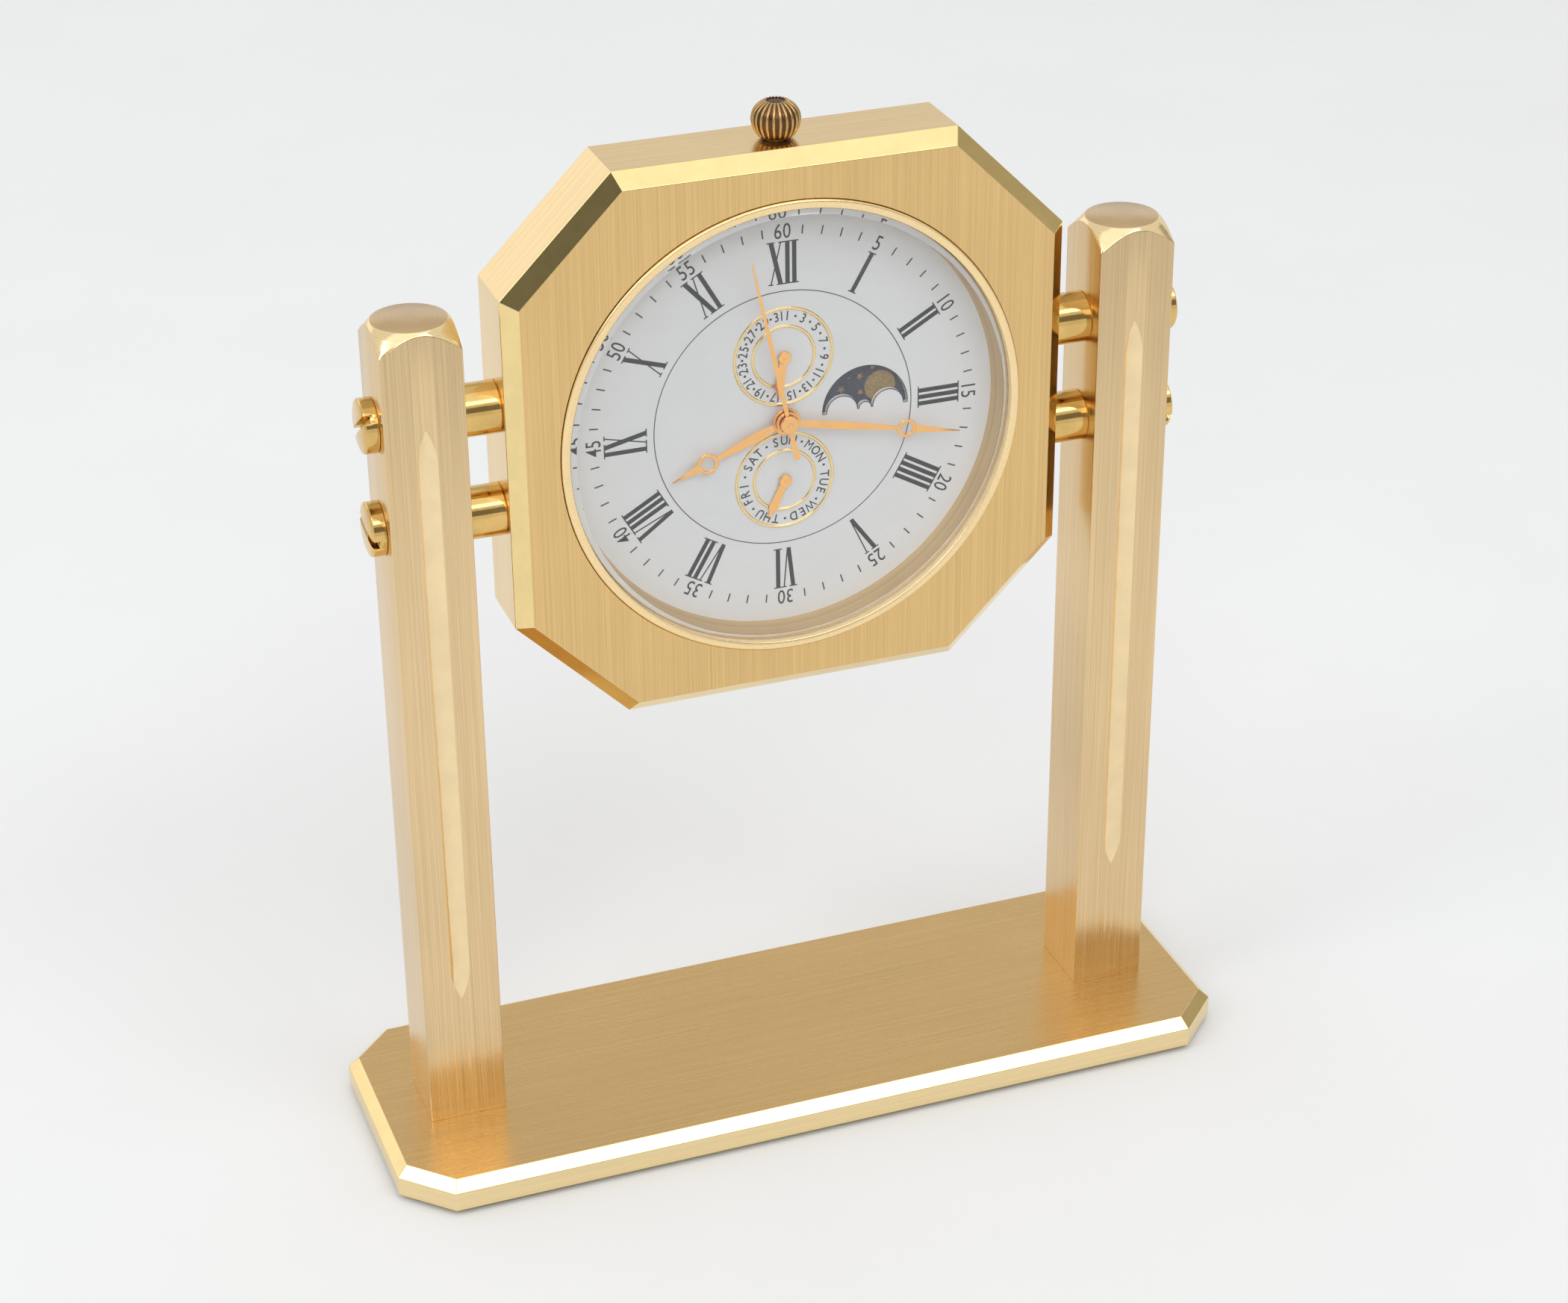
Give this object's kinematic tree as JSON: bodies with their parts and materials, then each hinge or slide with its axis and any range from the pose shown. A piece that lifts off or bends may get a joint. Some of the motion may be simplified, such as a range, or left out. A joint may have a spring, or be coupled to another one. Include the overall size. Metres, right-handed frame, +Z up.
{
  "type": "desk clock with calendar",
  "caption": "Small brass desk clock: a flat octagonal case with date, day and moon displays, held by spacers between two square posts on a bevelled base plate.",
  "frame": {"origin": "middle of the felt's underside, on the desk", "axes": "+Z up, the dial faces -Y, +X to the right as seen from the front"},
  "size_m": [0.092, 0.0308, 0.1085],
  "materials": {
    "brushed_brass": "brushed, with polished edges",
    "polished_brass": "polished",
    "dark_brass": "darkened in the grooves, polished on the ribs",
    "felt": "green felt",
    "steel": "plain machined steel",
    "glass": "clear mineral glass",
    "gasket": "pale gasket",
    "slope": "satin grey-brown",
    "dial_white": "satin cool white print ground",
    "gold_plate": "gold plated",
    "hand_plate": "rose gold plated",
    "ivory_plastic": "moulded",
    "plate_nickel": "nickel plated",
    "board": "solder mask",
    "black_resin": "moulded",
    "can_steel": "bright can",
    "copper_wire": "lacquered winding",
    "brass_wheel": "turned",
    "white_wheel": "moulded",
    "magnet": "bonded magnet",
    "moon_blue": "slate blue print with a gold moon and stars"
  },
  "bodies": {
    "frame": {"base_plate": "brushed_brass", "felt_pad": "felt", "left_post": "brushed_brass", "right_post": "brushed_brass", "base_screws": "steel", "left_spacers": "polished_brass", "right_spacers": "polished_brass", "left_case_screws": "polished_brass", "right_case_screws": "polished_brass", "case_body": "brushed_brass", "bezel_ring": "polished_brass", "crystal": "glass", "crystal_gasket": "gasket", "slope_ring": "slope", "dial": "dial_white", "calendar_rings": "gold_plate", "movement_holder": "ivory_plastic", "main_plate": "plate_nickel", "calendar_bridge": "plate_nickel", "train_bridge": "plate_nickel", "movement_screws": "steel", "circuit_board": "board", "chip": "black_resin", "quartz_can": "can_steel", "button_cell": "can_steel", "cell_strap": "steel", "coil": "copper_wire", "coil_core": "steel", "stator": "steel", "case_back": "brushed_brass", "case_back_screws": "steel", "crown_tube": "polished_brass"},
    "minute_arbor": {"minute_hand": "hand_plate", "centre_wheel": "brass_wheel"},
    "seconds_arbor": {"seconds_hand": "hand_plate", "seconds_wheel": "white_wheel"},
    "third_arbor": {"third_wheel": "white_wheel"},
    "intermediate_arbor": {"intermediate_wheel": "white_wheel"},
    "rotor_arbor": {"rotor": "magnet"},
    "minute_wheel_arbor": {"minute_wheel": "white_wheel"},
    "hour_pipe": {"hour_hand": "hand_plate", "hour_wheel": "brass_wheel"},
    "date_drive": {"date_drive_wheel": "white_wheel"},
    "day_drive": {"day_drive_wheel": "white_wheel"},
    "moon_drive": {"moon_drive_wheel": "white_wheel"},
    "date_arbor": {"date_hand": "hand_plate", "date_star": "white_wheel"},
    "day_arbor": {"day_hand": "hand_plate", "day_star": "white_wheel"},
    "moon_arbor": {"moon_disc": "moon_blue"},
    "clutch": {"sliding_pinion": "steel"},
    "stem": {"winding_stem": "steel", "crown": "dark_brass"}
  },
  "joints": [
    {"name": "minute_turn", "type": "hinge", "parent": "frame", "child": "minute_arbor", "pos_m": [0, 0, 0.0763], "axis": [0, 1, 0], "continuous": true},
    {"name": "seconds_turn", "type": "hinge", "parent": "frame", "child": "seconds_arbor", "pos_m": [0, 0, 0.0763], "axis": [0, 1, 0], "continuous": true},
    {"name": "third_turn", "type": "hinge", "parent": "frame", "child": "third_arbor", "pos_m": [0.00312, 0, 0.0781], "axis": [0, 1, 0], "continuous": true},
    {"name": "intermediate_turn", "type": "hinge", "parent": "frame", "child": "intermediate_arbor", "pos_m": [-0.00123, 0, 0.07968], "axis": [0, 1, 0], "continuous": true},
    {"name": "rotor_turn", "type": "hinge", "parent": "frame", "child": "rotor_arbor", "pos_m": [-0.00366, 0, 0.08108], "axis": [0, 1, 0], "continuous": true},
    {"name": "minute_wheel_turn", "type": "hinge", "parent": "frame", "child": "minute_wheel_arbor", "pos_m": [-0.0024, 0, 0.0763], "axis": [0, 1, 0], "continuous": true},
    {"name": "hour_turn", "type": "hinge", "parent": "frame", "child": "hour_pipe", "pos_m": [0, 0, 0.0763], "axis": [0, 1, 0], "continuous": true},
    {"name": "date_drive_turn", "type": "hinge", "parent": "frame", "child": "date_drive", "pos_m": [-0.00078, 0, 0.0792], "axis": [0, 1, 0], "continuous": true},
    {"name": "day_drive_turn", "type": "hinge", "parent": "frame", "child": "day_drive", "pos_m": [-0.00078, 0, 0.0734], "axis": [0, 1, 0], "continuous": true},
    {"name": "moon_drive_turn", "type": "hinge", "parent": "frame", "child": "moon_drive", "pos_m": [0.003, 0, 0.0763], "axis": [0, 1, 0], "continuous": true},
    {"name": "date_turn", "type": "hinge", "parent": "frame", "child": "date_arbor", "pos_m": [0, 0, 0.0829], "axis": [0, 1, 0], "continuous": true},
    {"name": "day_turn", "type": "hinge", "parent": "frame", "child": "day_arbor", "pos_m": [0, 0, 0.0697], "axis": [0, 1, 0], "continuous": true},
    {"name": "moon_turn", "type": "hinge", "parent": "frame", "child": "moon_arbor", "pos_m": [0.00855, 0, 0.0761], "axis": [0, 1, 0], "continuous": true},
    {"name": "crown_turn", "type": "hinge", "parent": "frame", "child": "clutch", "pos_m": [0, 0, 0.0763], "axis": [0, 0, 1], "continuous": true},
    {"name": "crown_pull", "type": "slide", "parent": "clutch", "child": "stem", "axis": [0, 0, 1], "range_m": [0, 0.0014]}
  ],
  "couplings": [
    {"joint": "seconds_turn", "follows": "minute_turn", "ratio": 60},
    {"joint": "third_turn", "follows": "minute_turn", "ratio": -8},
    {"joint": "intermediate_turn", "follows": "minute_turn", "ratio": -300},
    {"joint": "rotor_turn", "follows": "minute_turn", "ratio": 1800},
    {"joint": "minute_wheel_turn", "follows": "minute_turn", "ratio": -0.33333},
    {"joint": "hour_turn", "follows": "minute_turn", "ratio": 0.083333},
    {"joint": "date_drive_turn", "follows": "minute_turn", "ratio": -0.041667},
    {"joint": "day_drive_turn", "follows": "minute_turn", "ratio": -0.041667},
    {"joint": "moon_drive_turn", "follows": "minute_turn", "ratio": -0.041667},
    {"joint": "date_turn", "follows": "minute_turn", "ratio": 0.0013441},
    {"joint": "day_turn", "follows": "minute_turn", "ratio": 0.0059524},
    {"joint": "moon_turn", "follows": "minute_turn", "ratio": 0.00070621}
  ]
}
